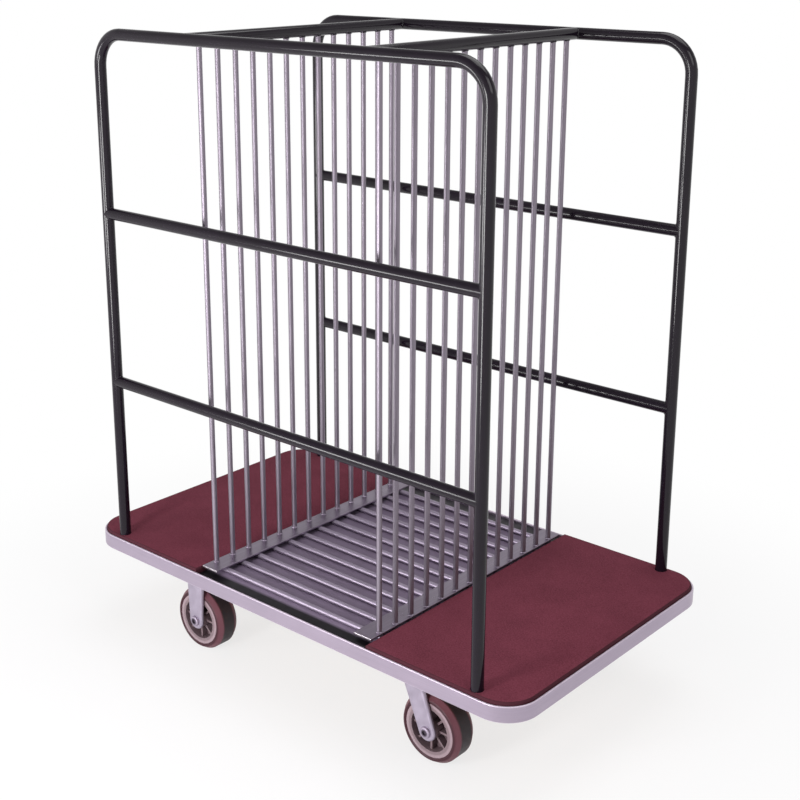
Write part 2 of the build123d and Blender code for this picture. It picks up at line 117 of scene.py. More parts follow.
# Satin nickel plate on drawn rod: a grey sheen, with faint draw marks along the rod
def makePlatedRod(name, plating, stretch):
    material, tree, place = startMaterial(name)
    along = addNode(tree, "ShaderNodeMapping", {"Scale": stretch}, {"Vector": place})
    drawn = addNode(tree, "ShaderNodeTexNoise", {"Scale": 1.0, "Detail": 3.0}, {"Vector": along})
    cloud = addNode(tree, "ShaderNodeTexNoise", {"Scale": perMetre(plating["cloud"]), "Detail": 3.0},
                    {"Vector": place})
    tone = addNode(tree, "ShaderNodeMix",
                   {"data_type": "RGBA", "A": linear(plating["dark"]), "B": linear(plating["light"])},
                   {"Factor": drawn})
    shine = addNode(tree, "ShaderNodeMapRange",
                    {**noiseSpan, "To Min": plating["gloss"], "To Max": plating["dull"]},
                    {"Value": cloud})
    endMaterial(tree, {"Metallic": 0.9}, {"Base Color": tone, "Roughness": shine})
    return material


drawMark = {"across": perMetre(1.2), "along": perMetre(60)}
standing = {"dark": "7b737e", "light": "948b97", "cloud": 60, "gloss": 0.4, "dull": 0.52}
uprightPlate = makePlatedRod("plated upright rod", standing,
                             (drawMark["across"], drawMark["across"], drawMark["along"]))
# Painted light: the lying rods are a lighter copy of the standing rods' plate
lying = {"dark": "9c90a2", "light": "b5a9bc", "cloud": 60, "gloss": 0.42, "dull": 0.55}  # painted light on their upper sides
floorPlate = makePlatedRod("plated floor rod", lying,
                           (drawMark["along"], drawMark["across"], drawMark["across"]))

# Zinc plate on rolled flat bar: a soft bloom on the flat, and a painted highlight on its ends
barZinc = {"dark": "827786", "light": "a89dad", "endHighlight": "e6dde6", "mark": 1.5, "run": 90, "bloom": 35,
           "endFrom": 0.6, "gloss": 0.26, "dull": 0.42}
flatBarZinc, tree, place = startMaterial("zinc plated flat bar")
stretch = (perMetre(barZinc["mark"]), perMetre(barZinc["run"]), perMetre(barZinc["mark"]))
along = addNode(tree, "ShaderNodeMapping", {"Scale": stretch}, {"Vector": place})
rolled = addNode(tree, "ShaderNodeTexNoise", {"Scale": 1.0, "Detail": 3.0}, {"Vector": along})
bloom = addNode(tree, "ShaderNodeTexNoise", {"Scale": perMetre(barZinc["bloom"]), "Detail": 4.0},
                {"Vector": place})
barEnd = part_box("right_base_bar")[1].y
sideways = addNode(tree, "ShaderNodeSeparateXYZ", {}, {"Vector": place}).outputs["Y"]
sideways = addNode(tree, "ShaderNodeMath", {"operation": "ABSOLUTE"}, {"Value": sideways})
# Painted highlight: the bar is painted bright at each end
atEnd = addNode(tree, "ShaderNodeMapRange",
                {"From Min": barEnd - mm(2 * barZinc["endFrom"]),
                 "From Max": barEnd - mm(barZinc["endFrom"])}, {"Value": sideways})
flat = addNode(tree, "ShaderNodeMix",
               {"data_type": "RGBA", "A": linear(barZinc["dark"]), "B": linear(barZinc["light"])},
               {"Factor": rolled})
tone = addNode(tree, "ShaderNodeMix", {"data_type": "RGBA", "B": linear(barZinc["endHighlight"])},
               {"Factor": atEnd, "A": flat})
shine = addNode(tree, "ShaderNodeMapRange",
                {**noiseSpan, "To Min": barZinc["gloss"], "To Max": barZinc["dull"]}, {"Value": bloom})
endMaterial(tree, {"Metallic": 1.0}, {"Base Color": tone, "Roughness": shine})

# Satin anodised aluminium strip: pale lilac grey, with fine lines drawn along it and a painted highlight
# along its top and bottom edges
strip = {"dark": "a296a7", "light": "b6a8ba", "bright": "d2c5d4", "line": 0.9, "run": 140, "cloud": 120,
         "gloss": 0.3, "dull": 0.44, "edgeDull": 0.6, "middle": 191.5, "faceTo": 12.6, "edgeFrom": 14.1}
bandAluminium, tree, place = startMaterial("satin anodised aluminium strip")
stretch = (perMetre(strip["run"]), perMetre(strip["run"]), perMetre(strip["line"]))
along = addNode(tree, "ShaderNodeMapping", {"Scale": stretch}, {"Vector": place})
drawn = addNode(tree, "ShaderNodeTexNoise", {"Scale": 1.0, "Detail": 2.0}, {"Vector": along})
cloud = addNode(tree, "ShaderNodeTexNoise", {"Scale": perMetre(strip["cloud"]), "Detail": 4.0},
                {"Vector": place})
height = addNode(tree, "ShaderNodeSeparateXYZ", {}, {"Vector": place}).outputs["Z"]
offMiddle = addNode(tree, "ShaderNodeMath",
                    {"operation": "SUBTRACT", "Value_001": mm(strip["middle"])}, {"Value": height})
offMiddle = addNode(tree, "ShaderNodeMath", {"operation": "ABSOLUTE"}, {"Value": offMiddle})
# Painted highlight: the strip is painted bright along its top and bottom edges
highlightedEdge = addNode(tree, "ShaderNodeMapRange",
                 {"From Min": mm(strip["faceTo"]), "From Max": mm(strip["edgeFrom"])},
                 {"Value": offMiddle})
face = addNode(tree, "ShaderNodeMix",
               {"data_type": "RGBA", "A": linear(strip["dark"]), "B": linear(strip["light"])},
               {"Factor": drawn})
tone = addNode(tree, "ShaderNodeMix", {"data_type": "RGBA", "B": linear(strip["bright"])},
               {"Factor": highlightedEdge, "A": face})
shine = addNode(tree, "ShaderNodeMapRange",
                {**noiseSpan, "To Min": strip["gloss"], "To Max": strip["dull"]}, {"Value": cloud})
shine = addNode(tree, "ShaderNodeMix", {"data_type": "FLOAT", "B": strip["edgeDull"]},
                {"Factor": highlightedEdge, "A": shine})
relief = addNode(tree, "ShaderNodeBump", {"Strength": 0.1, "Distance": mm(0.05)}, {"Height": drawn})
endMaterial(tree, {"Metallic": 0.85}, {"Base Color": tone, "Roughness": shine, "Normal": relief})

# Bright zinc plate on pressed steel: cool pale grey, faintly cloudy
forkZinc = {"dark": "9d93a4", "light": "b5abbc", "cloud": 14, "gloss": 0.32, "dull": 0.5}
pressedZinc, tree, place = startMaterial("zinc plated pressed steel")
cloud = addNode(tree, "ShaderNodeTexNoise", {"Scale": perMetre(forkZinc["cloud"]), "Detail": 5.0},
                {"Vector": place})
tone = addNode(tree, "ShaderNodeMix",
               {"data_type": "RGBA", "A": linear(forkZinc["dark"]), "B": linear(forkZinc["light"])},
               {"Factor": cloud})
shine = addNode(tree, "ShaderNodeMapRange",
                {**noiseSpan, "To Min": forkZinc["gloss"], "To Max": forkZinc["dull"]}, {"Value": cloud})
endMaterial(tree, {"Metallic": 0.8}, {"Base Color": tone, "Roughness": shine})

# Steel fasteners: darker than the forks, oily and a little worn
oiled = {"dark": "4c484d", "light": "8b858d", "wear": 5, "gloss": 0.28, "dull": 0.5}
fastenerSteel, tree, place = startMaterial("oiled steel fastener")
wear = addNode(tree, "ShaderNodeTexNoise", {"Scale": perMetre(oiled["wear"]), "Detail": 4.0},
               {"Vector": place})
tone = addNode(tree, "ShaderNodeMix",
               {"data_type": "RGBA", "A": linear(oiled["dark"]), "B": linear(oiled["light"])},
               {"Factor": wear})
shine = addNode(tree, "ShaderNodeMapRange",
                {**noiseSpan, "To Min": oiled["gloss"], "To Max": oiled["dull"]}, {"Value": wear})
endMaterial(tree, {"Metallic": 1.0}, {"Base Color": tone, "Roughness": shine})

# Hardened ball steel: polished, with a smear of grease
race = {"clean": "b8b5b9", "greasy": "6b5f50", "smear": 6, "gloss": 0.08, "dull": 0.35}
ballSteel, tree, place = startMaterial("polished ball steel")
smear = addNode(tree, "ShaderNodeTexNoise", {"Scale": perMetre(race["smear"]), "Detail": 3.0},
                {"Vector": place})
tone = addNode(tree, "ShaderNodeMix",
               {"data_type": "RGBA", "A": linear(race["clean"]), "B": linear(race["greasy"])},
               {"Factor": smear})
shine = addNode(tree, "ShaderNodeMapRange",
                {**noiseSpan, "To Min": race["gloss"], "To Max": race["dull"]}, {"Value": smear})
endMaterial(tree, {"Metallic": 1.0}, {"Base Color": tone, "Roughness": shine})

# Sintered bronze: warm dull brown metal, finely grained
bronze = {"dark": "6d5233", "light": "9a784c", "grain": 1.5}
bearingBronze, tree, place = startMaterial("sintered bronze")
grain = addNode(tree, "ShaderNodeTexNoise", {"Scale": perMetre(bronze["grain"]), "Detail": 3.0},
                {"Vector": place})
tone = addNode(tree, "ShaderNodeMix",
               {"data_type": "RGBA", "A": linear(bronze["dark"]), "B": linear(bronze["light"])},
               {"Factor": grain})
endMaterial(tree, {"Metallic": 1.0, "Roughness": 0.42}, {"Base Color": tone})

# Moulded black nylon: the plugs in the tube ends
nylon = {"dark": "151416", "light": "232124", "grain": 2}
plugNylon, tree, place = startMaterial("moulded black nylon")
grain = addNode(tree, "ShaderNodeTexNoise", {"Scale": perMetre(nylon["grain"]), "Detail": 2.0},
                {"Vector": place})
tone = addNode(tree, "ShaderNodeMix",
               {"data_type": "RGBA", "A": linear(nylon["dark"]), "B": linear(nylon["light"])},
               {"Factor": grain})
relief = addNode(tree, "ShaderNodeBump", {"Strength": 0.2, "Distance": mm(0.1)}, {"Height": grain})
endMaterial(tree, {"Roughness": 0.5, "IOR": 1.53}, {"Base Color": tone, "Normal": relief})

# Varnished plywood: long grain along X, plies in bands where its edge shows
ply = {"dark": "8a6038", "light": "c39a68", "grain": 5, "run": 160, "veneer": 1.9, "knot": 70,
       "gloss": 0.35, "dull": 0.55}
plywood, tree, place = startMaterial("varnished plywood")
stretch = (perMetre(ply["run"]), perMetre(ply["grain"]), perMetre(ply["veneer"]))
along = addNode(tree, "ShaderNodeMapping", {"Scale": stretch}, {"Vector": place})
fibre = addNode(tree, "ShaderNodeTexNoise", {"Scale": 1.0, "Detail": 6.0, "Distortion": 0.6},
                {"Vector": along})
knot = addNode(tree, "ShaderNodeTexNoise", {"Scale": perMetre(ply["knot"]), "Detail": 3.0},
               {"Vector": place})
tone = addNode(tree, "ShaderNodeMix",
               {"data_type": "RGBA", "A": linear(ply["dark"]), "B": linear(ply["light"])},
               {"Factor": fibre})
shine = addNode(tree, "ShaderNodeMapRange",
                {**noiseSpan, "To Min": ply["gloss"], "To Max": ply["dull"]}, {"Value": knot})
relief = addNode(tree, "ShaderNodeBump", {"Strength": 0.25, "Distance": mm(0.2)}, {"Height": fibre})
endMaterial(tree, {"IOR": 1.5}, {"Base Color": tone, "Roughness": shine, "Normal": relief})

# Hardboard under the carpet: smooth brown, only seen at the cut-outs for the arches
hardboardLook = {"dark": "4a3626", "light": "644a34", "fleck": 3}
hardboard, tree, place = startMaterial("hardboard")
fleck = addNode(tree, "ShaderNodeTexNoise", {"Scale": perMetre(hardboardLook["fleck"]), "Detail": 4.0},
                {"Vector": place})
tone = addNode(tree, "ShaderNodeMix", {"data_type": "RGBA", "A": linear(hardboardLook["dark"]),
                                       "B": linear(hardboardLook["light"])}, {"Factor": fleck})
endMaterial(tree, {"Roughness": 0.7}, {"Base Color": tone})

# Needle-punched carpet: matt maroon, a felted surface of fibres with a soft sheen
# The fibre is drawn at 2.5 mm, coarser than the real one, so that it shows
felt = {"dark": "5c2633", "light": "7a3848", "sheen": "8c5463", "fibre": 2.5, "patch": 60,
        "patchShare": 0.2, "darkTo": 0.36, "lightFrom": 0.64}
carpetFelt, tree, place = startMaterial("needle punched carpet")
fibre = addNode(tree, "ShaderNodeTexNoise",
                {"Scale": perMetre(felt["fibre"]), "Detail": 4.0, "Roughness": 0.7}, {"Vector": place})
patch = addNode(tree, "ShaderNodeTexNoise", {"Scale": perMetre(felt["patch"]), "Detail": 3.0},
                {"Vector": place})
blend = addNode(tree, "ShaderNodeMix", {"data_type": "FLOAT", "Factor": felt["patchShare"]},
                {"A": fibre, "B": patch})
contrast = addNode(tree, "ShaderNodeMapRange",
                   {"From Min": felt["darkTo"], "From Max": felt["lightFrom"]}, {"Value": blend})
tone = addNode(tree, "ShaderNodeMix",
               {"data_type": "RGBA", "A": linear(felt["dark"]), "B": linear(felt["light"])},
               {"Factor": contrast})
relief = addNode(tree, "ShaderNodeBump", {"Strength": 0.5, "Distance": mm(0.8)}, {"Height": fibre})
endMaterial(tree, {"Roughness": 0.95, "Specular IOR Level": 0.2, "Sheen Weight": 0.1,
                   "Sheen Roughness": 0.5, "Sheen Tint": linear(felt["sheen"])},
            {"Base Color": tone, "Normal": relief})

# Woven binding tape over the carpet's rolled edge: dark maroon, and painted shade on the carpet's
# turned-down sides
tape = {"dark": "391a24", "light": "522731", "thread": 1.6}
bindingTapeAndShade, tree, place = startMaterial("woven binding tape and painted shade")
thread = addNode(tree, "ShaderNodeTexNoise", {"Scale": perMetre(tape["thread"]), "Detail": 2.0},
                 {"Vector": place})
tone = addNode(tree, "ShaderNodeMix",
               {"data_type": "RGBA", "A": linear(tape["dark"]), "B": linear(tape["light"])},
               {"Factor": thread})
relief = addNode(tree, "ShaderNodeBump", {"Strength": 0.4, "Distance": mm(0.4)}, {"Height": thread})
endMaterial(tree, {"Roughness": 0.9, "Specular IOR Level": 0.2}, {"Base Color": tone, "Normal": relief})

# Rubber sheet: a dusty lilac grey between the rods, and black along the deck's long edges
sheet = {"black": "151117", "dust": "695b6f", "paleDust": "84768b", "scuff": 30, "dustTo": 268,
         "blackFrom": 276, "gloss": 0.3, "dull": 0.5}
matRubber, tree, place = startMaterial("dusty rubber sheet")
scuff = addNode(tree, "ShaderNodeTexNoise", {"Scale": perMetre(sheet["scuff"]), "Detail": 5.0},
                {"Vector": place})
sideways = addNode(tree, "ShaderNodeSeparateXYZ", {}, {"Vector": place}).outputs["Y"]
sideways = addNode(tree, "ShaderNodeMath", {"operation": "ABSOLUTE"}, {"Value": sideways})
towardsLongEdges = addNode(tree, "ShaderNodeMapRange",
                 {"From Min": mm(sheet["dustTo"]), "From Max": mm(sheet["blackFrom"])},
                 {"Value": sideways})
worn = addNode(tree, "ShaderNodeMix",
               {"data_type": "RGBA", "A": linear(sheet["dust"]), "B": linear(sheet["paleDust"])},
               {"Factor": scuff})
tone = addNode(tree, "ShaderNodeMix", {"data_type": "RGBA", "B": linear(sheet["black"])},
               {"Factor": towardsLongEdges, "A": worn})
shine = addNode(tree, "ShaderNodeMapRange",
                {**noiseSpan, "To Min": sheet["gloss"], "To Max": sheet["dull"]}, {"Value": scuff})
endMaterial(tree, {"IOR": 1.52, "Specular IOR Level": 0.25}, {"Base Color": tone, "Roughness": shine})

# The wheels' finishes change with the distance from the axle and from the wheel's middle plane
acrossAxle = (1, 0, 1)
alongAxle = (0, 1, 0)


def wheelDistance(tree, place, axle, direction):
    hub = addNode(tree, "ShaderNodeMapping", {"vector_type": "TEXTURE", "Location": axle},
                  {"Vector": place})
    part = addNode(tree, "ShaderNodeVectorMath", {"operation": "MULTIPLY", "Vector_001": direction},
                   {"Vector": hub})
    return addNode(tree, "ShaderNodeVectorMath", {"operation": "LENGTH"}, {"Vector": part})


# Zinc plated axle: bright at the rim of its head, darkened round the socket by grime and painted shade
axleZinc = {"grimeAndShade": "524955", "bright": "a297a8", "grimeAndShadeTo": 5.0, "brightFrom": 8.5, "cloud": 5,
            "gloss": 0.48, "dull": 0.62}


def makeAxle(name, axle):
    material, tree, place = startMaterial(name)
    radius = wheelDistance(tree, place, axle, acrossAxle)
    cloud = addNode(tree, "ShaderNodeTexNoise", {"Scale": perMetre(axleZinc["cloud"]), "Detail": 4.0},
                    {"Vector": place})
    # Painted shade, with grime, darkens the head round the socket
    clean = addNode(tree, "ShaderNodeMapRange",
                    {"interpolation_type": "SMOOTHSTEP", "From Min": mm(axleZinc["grimeAndShadeTo"]),
                     "From Max": mm(axleZinc["brightFrom"])}, {"Value": radius})
    tone = addNode(tree, "ShaderNodeMix",
                   {"data_type": "RGBA", "A": linear(axleZinc["grimeAndShade"]),
                    "B": linear(axleZinc["bright"])}, {"Factor": clean})
    shine = addNode(tree, "ShaderNodeMapRange",
                    {**noiseSpan, "To Min": axleZinc["gloss"], "To Max": axleZinc["dull"]},
                    {"Value": cloud})
    endMaterial(tree, {"Metallic": 0.8}, {"Base Color": tone, "Roughness": shine})
    return material


# Cast polyurethane tyre: maroon, with painted shade darkening its flat side, a painted sheen lightening its
# shoulder, and a dirty grey tread also darkened by painted shade
tyreLook = {"flat": "3a1b24", "paintedSheen": "6c434d", "tread": "2a2428", "worn": "3a3137", "dirt": 9,
            "flatTo": 55.5, "paintedSheenFrom": 59.5, "treadTo": 11.0, "sideFrom": 16.0,
            "gloss": 0.4, "dull": 0.6, "specular": 0.25}


def makeTyre(name, axle):
    material, tree, place = startMaterial(name)
    radius = wheelDistance(tree, place, axle, acrossAxle)
    offCentre = wheelDistance(tree, place, axle, alongAxle)
    dirt = addNode(tree, "ShaderNodeTexNoise", {"Scale": perMetre(tyreLook["dirt"]), "Detail": 5.0},
                   {"Vector": place})
    # Painted shade darkens the flat side and a painted sheen lightens the shoulder
    onShoulder = addNode(tree, "ShaderNodeMapRange",
                         {"interpolation_type": "SMOOTHSTEP", "From Min": mm(tyreLook["flatTo"]),
                          "From Max": mm(tyreLook["paintedSheenFrom"])}, {"Value": radius})
    offTread = addNode(tree, "ShaderNodeMapRange",
                       {"interpolation_type": "SMOOTHSTEP", "From Min": mm(tyreLook["treadTo"]),
                        "From Max": mm(tyreLook["sideFrom"])}, {"Value": offCentre})
    side = addNode(tree, "ShaderNodeMix",
                   {"data_type": "RGBA", "A": linear(tyreLook["flat"]),
                    "B": linear(tyreLook["paintedSheen"])}, {"Factor": onShoulder})
    # The tread's dark grey is dirt together with painted shade
    tread = addNode(tree, "ShaderNodeMix",
                    {"data_type": "RGBA", "A": linear(tyreLook["tread"]),
                     "B": linear(tyreLook["worn"])}, {"Factor": dirt})
    tone = addNode(tree, "ShaderNodeMix", {"data_type": "RGBA"},
                   {"Factor": offTread, "A": tread, "B": side})
    shine = addNode(tree, "ShaderNodeMapRange",
                    {**noiseSpan, "To Min": tyreLook["gloss"], "To Max": tyreLook["dull"]},
                    {"Value": dirt})
    endMaterial(tree, {"IOR": 1.5, "Specular IOR Level": tyreLook["specular"]},
                {"Base Color": tone, "Roughness": shine})
    return material


# Moulded core: pale pinkish grey on the rim's lip, darkened by grime and painted shade inside it and deep
# in the recesses
coreLook = {"rim": "9f8b92", "edge": "826e75", "grimeAndShade": "67555a", "fleck": 4, "deepAt": 10.0,
            "cleanAndLitAt": 24.3, "lipFrom": 44.0, "lipTo": 47.5, "inside": 0.3}


def makeCore(name, axle):
    material, tree, place = startMaterial(name)
    radius = wheelDistance(tree, place, axle, acrossAxle)
    offCentre = wheelDistance(tree, place, axle, alongAxle)
    fleck = addNode(tree, "ShaderNodeTexNoise", {"Scale": perMetre(coreLook["fleck"]), "Detail": 4.0},
                    {"Vector": place})
    # Painted shade, with grime, darkens the core deep in the recess and inside the lip
    clean = addNode(tree, "ShaderNodeMapRange",
                    {"interpolation_type": "SMOOTHSTEP", "From Min": mm(coreLook["deepAt"]),
                     "From Max": mm(coreLook["cleanAndLitAt"])}, {"Value": offCentre})
    onLip = addNode(tree, "ShaderNodeMapRange",
                    {"interpolation_type": "SMOOTHSTEP", "From Min": mm(coreLook["lipFrom"]),
                     "From Max": mm(coreLook["lipTo"]), "To Min": coreLook["inside"]},
                    {"Value": radius})
    clean = addNode(tree, "ShaderNodeMath", {"operation": "MULTIPLY"},
                    {"Value": clean, "Value_001": onLip})
    face = addNode(tree, "ShaderNodeMix",
                   {"data_type": "RGBA", "A": linear(coreLook["edge"]), "B": linear(coreLook["rim"])},
                   {"Factor": fleck})
    tone = addNode(tree, "ShaderNodeMix", {"data_type": "RGBA", "A": linear(coreLook["grimeAndShade"])},
                   {"Factor": clean, "B": face})
    endMaterial(tree, {"Roughness": 0.45, "IOR": 1.5}, {"Base Color": tone})
    return material


print("materials made:", len(bpy.data.materials))


# CAD nodes keep their shape and take these finishes
def coat(names, material):
    for name in names:
        nodes[name].data.materials.clear()
        nodes[name].data.materials.append(material)


coat(["near_frame_tube", "far_frame_tube", "near_upper_rail", "near_lower_rail", "far_upper_rail",
      "far_lower_rail", "left_cross_tube", "right_cross_tube"], blackEnamel)
coat(["left_uprights", "right_uprights"], uprightPlate)
coat(["floor_rods"], floorPlate)
coat(["left_base_bar", "right_base_bar"], flatBarZinc)
coat(["edge_band"], bandAluminium)
coat(["base_board"], plywood)
coat(["left_panel_board", "right_panel_board"], hardboard)
coat(["tube_plugs"], plugNylon)
coat(["frame_bolts", "frame_washers", "caster_bolts", "caster_nuts"], fastenerSteel)
for side in ("near", "far"):
    coat([side + "_swivel_plate", side + "_swivel_fork", side + "_fixed_fork"], pressedZinc)
    coat([side + "_swivel_balls"], ballSteel)
    coat([side + "_swivel_kingpin"], fastenerSteel)
    for caster in (side + "_fixed", side + "_swivel"):
        low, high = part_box(caster + "_tyre")
        axle = (low + high) / 2
        coat([caster + "_tyre"], makeTyre(caster + " polyurethane tyre", axle))
        coat([caster + "_core"], makeCore(caster + " moulded core", axle))
        coat([caster + "_bearing"], bearingBronze)
        coat([caster + "_axle"], makeAxle(caster + " zinc plated axle", axle))
        coat([caster + "_axle_nut", caster + "_spacer"], fastenerSteel)
print("finishes on the frame")

# Modelling helpers
closeTo = mm(0.1)  # points nearer than this are in the same plane
smoothAngle = math.radians(40)


def deselectAll():
    if bpy.context.object and bpy.context.object.mode != "OBJECT":
        bpy.ops.object.mode_set(mode="OBJECT")
    bpy.ops.object.select_all(action="DESELECT")


def makeActive(piece):
    deselectAll()
    piece.select_set(True)
    bpy.context.view_layer.objects.active = piece


def clearSelection(piece, kind):
    makeActive(piece)
    bpy.ops.object.mode_set(mode="EDIT")
    bpy.ops.mesh.select_mode(type=kind)
    bpy.ops.mesh.select_all(action="DESELECT")
    bpy.ops.object.mode_set(mode="OBJECT")


def editEdges(piece, test):
    clearSelection(piece, "EDGE")
    points = piece.data.vertices
    for edge in piece.data.edges:
        edge.select = test(points[edge.vertices[0]].co, points[edge.vertices[1]].co)
    bpy.ops.object.mode_set(mode="EDIT")


def editFaces(piece, test):
    clearSelection(piece, "FACE")
    for face in piece.data.polygons:
        face.select = test(face)
    bpy.ops.object.mode_set(mode="EDIT")


def useModifier(piece, kind, **settings):
    makeActive(piece)
    modifier = piece.modifiers.new(kind.lower(), kind)
    for name, value in settings.items():
        setattr(modifier, name, value)
    bpy.ops.object.modifier_apply(modifier=modifier.name)


def smoothByAngle(piece):
    makeActive(piece)
    bpy.ops.object.shade_smooth_by_angle(angle=smoothAngle)


def addBlock(name, low, high):
    deselectAll()
    bpy.ops.mesh.primitive_cube_add(size=1, location=(low + high) / 2, scale=high - low)
    piece = bpy.context.object
    piece.name = name
    piece.data.name = name
    bpy.ops.object.transform_apply(location=True, rotation=True, scale=True)
    return piece


# Places read from the frame
tubeLow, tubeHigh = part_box("near_frame_tube")
railLow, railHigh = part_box("near_upper_rail")
tubeRadius = (railHigh.z - railLow.z) / 2
uprightX = tubeHigh.x - tubeRadius
frameY = -(tubeLow.y + tubeHigh.y) / 2
rowLow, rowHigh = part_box("right_uprights")
rodRadius = (rowHigh.x - rowLow.x) / 2
rowX = (rowLow.x + rowHigh.x) / 2
topTubeZ = tubeHigh.z - tubeRadius

# Carpet covers: felt stretched over each end panel and turned down round it, holed for the arches
cover = {"cornerRadius": mm(59.5), "cornerSteps": 18, "edgeRoll": mm(3.5), "rollSteps": 6,
         "turnDown": mm(2.5), "downward": -0.9, "holeGap": mm(0.5), "holeDepth": mm(60), "holeSides": 48,
         "tapeAndShadeBelow": mm(0.25), "tapeAndShadeSlope": 0.95, "flat": (0.337, 0.627)}


def makeCarpet(end, sign):
    node = end + "_carpet"
    low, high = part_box(node)
    boardLow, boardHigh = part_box(end + "_panel_board")
    outer = high.x if sign > 0 else low.x

    def atOuterCorner(a, b):
        atOuterEnd = max(abs(a.x - outer), abs(b.x - outer)) < closeTo
        return atOuterEnd and abs(a.z - b.z) > closeTo

    piece = addBlock(end + "CarpetCover", low, high)
    editEdges(piece, atOuterCorner)
    bpy.ops.mesh.bevel(offset=cover["cornerRadius"], segments=cover["cornerSteps"], affect="EDGES")
    editEdges(piece, lambda a, b: min(a.z, b.z) > high.z - closeTo)
    bpy.ops.mesh.bevel(offset=cover["edgeRoll"], segments=cover["rollSteps"], affect="EDGES")
    editFaces(piece, lambda face: face.normal.z < cover["downward"])
    bpy.ops.mesh.inset(thickness=cover["turnDown"])
    bpy.ops.mesh.extrude_region_move(TRANSFORM_OT_translate={"value": (0, 0, boardHigh.z - boardLow.z)})
    for y in (-frameY, frameY):
        deselectAll()
        bpy.ops.mesh.primitive_cylinder_add(radius=tubeRadius + cover["holeGap"], depth=cover["holeDepth"],
                                            vertices=cover["holeSides"],
                                            location=(sign * uprightX, y, high.z))
        cutter = bpy.context.object
        useModifier(piece, "BOOLEAN", operation="DIFFERENCE", object=cutter, solver="EXACT")
        bpy.data.objects.remove(cutter)
    smoothByAngle(piece)
    piece.data.materials.append(carpetFelt)
    piece.data.materials.append(bindingTapeAndShade)
    # Painted shade: the carpet's sides below its top take the tape's dark maroon
    for face in piece.data.polygons:
        if face.center.z < high.z - cover["tapeAndShadeBelow"] and abs(face.normal.z) < cover["tapeAndShadeSlope"]:
            face.material_index = 1
    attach(piece, "trolley")
    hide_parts(node)


makeCarpet("left", -1)
makeCarpet("right", 1)
print("carpet covers made")

# Rubber sheet on the board between the panels, with its cut edges a little rounded
mat = {"edgeRound": mm(0.8), "roundSteps": 3}
matLow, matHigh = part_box("rubber_mat")
floorSheet = addBlock("rubberSheet", matLow, matHigh)
editEdges(floorSheet, lambda a, b: min(a.z, b.z) > matHigh.z - closeTo)
bpy.ops.mesh.bevel(offset=mat["edgeRound"], segments=mat["roundSteps"], affect="EDGES")
smoothByAngle(floorSheet)
floorSheet.data.materials.append(matRubber)
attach(floorSheet, "trolley")
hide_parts("rubber_mat")
print("rubber sheet made")

# Weld beads: a rippled ring round the end of each tube or rod, bent to the tube that it meets
tubeWeld = {"around": tubeRadius, "bead": mm(2.0), "ripples": 26, "steps": 78}
rodWeld = {"around": rodRadius, "bead": mm(1.5), "ripples": 11, "steps": 33}
beadForm = {"rippleDepth": 0.14, "sides": 8}


def makeBead(name, weld, header):
    radius = weld["around"]
    deselectAll()
    bpy.ops.mesh.primitive_torus_add(major_radius=radius, minor_radius=weld["bead"],
                                     major_segments=weld["steps"], minor_segments=beadForm["sides"])
    piece = bpy.context.object
    piece.name = name
    piece.data.name = name
    for point in piece.data.vertices:
        angle = math.atan2(point.co.y, point.co.x)
        ring = Vector((radius * math.cos(angle), radius * math.sin(angle), 0))
        swell = 1 + beadForm["rippleDepth"] * math.sin(weld["ripples"] * angle)
        if header == radius:
            swell *= math.cos(angle) ** 2  # runs out where the two tubes are flush
        point.co = ring + (point.co - ring) * swell
        if header:
            point.co.z += math.sqrt(max(header ** 2 - (radius * math.sin(angle)) ** 2, 0))
    bpy.ops.object.shade_smooth()
    return piece


# Copies the bead to each joint: header is the axis of the tube that is met, run goes along the joined tube
def weldJoints(bead, joints, material):
    copies = []
    for joint, run, header in joints:
        turned = Matrix((header, run.cross(header), run)).transposed().to_4x4()
        copy = bead.copy()
        copy.data = bead.data.copy()
        copy.data.transform(Matrix.Translation(joint) @ turned)
        bpy.context.collection.objects.link(copy)
        copies.append(copy)
    name = bead.name
    bpy.data.objects.remove(bead)
    makeActive(copies[0])
    for copy in copies:
        copy.select_set(True)
    bpy.ops.object.join()
    copies[0].name = name
    copies[0].data.materials.append(material)
    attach(copies[0], "trolley")


alongX, alongY, alongZ = Vector((1, 0, 0)), Vector((0, 1, 0)), Vector((0, 0, 1))
railJoints = []
for rail in ("near_upper_rail", "near_lower_rail", "far_upper_rail", "far_lower_rail"):
    low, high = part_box(rail)
    middle = (low + high) / 2
    for sign in (-1, 1):
        railJoints.append((Vector((sign * uprightX, middle.y, middle.z)), -sign * alongX, alongZ))
bead = makeBead("railWelds", tubeWeld, tubeRadius)
weldJoints(bead, railJoints, blackEnamel)

crossJoints = []
for x in (-rowX, rowX):
    for sign in (-1, 1):
        crossJoints.append((Vector((x, sign * frameY, topTubeZ)), -sign * alongY, alongX))
bead = makeBead("crossTubeWelds", tubeWeld, tubeRadius)
weldJoints(bead, crossJoints, blackEnamel)

rodCount = 13
rodStep = (rowHigh.y - rowLow.y - 2 * rodRadius) / (rodCount - 1)
rodPlaces = [rowLow.y + rodRadius + i * rodStep for i in range(rodCount)]
for end, x in (("left", -rowX), ("right", rowX)):
    rodTops = [(Vector((x, y, topTubeZ)), -alongZ, alongY) for y in rodPlaces]
    bead = makeBead(end + "RodTopWelds", rodWeld, tubeRadius)
    weldJoints(bead, rodTops, blackEnamel)
    rodFeet = [(Vector((x, y, rowLow.z)), alongZ, alongY) for y in rodPlaces]
    bead = makeBead(end + "RodFootWelds", rodWeld, 0)  # the flat bar has no curve to follow
    weldJoints(bead, rodFeet, flatBarZinc)
print("weld beads made")

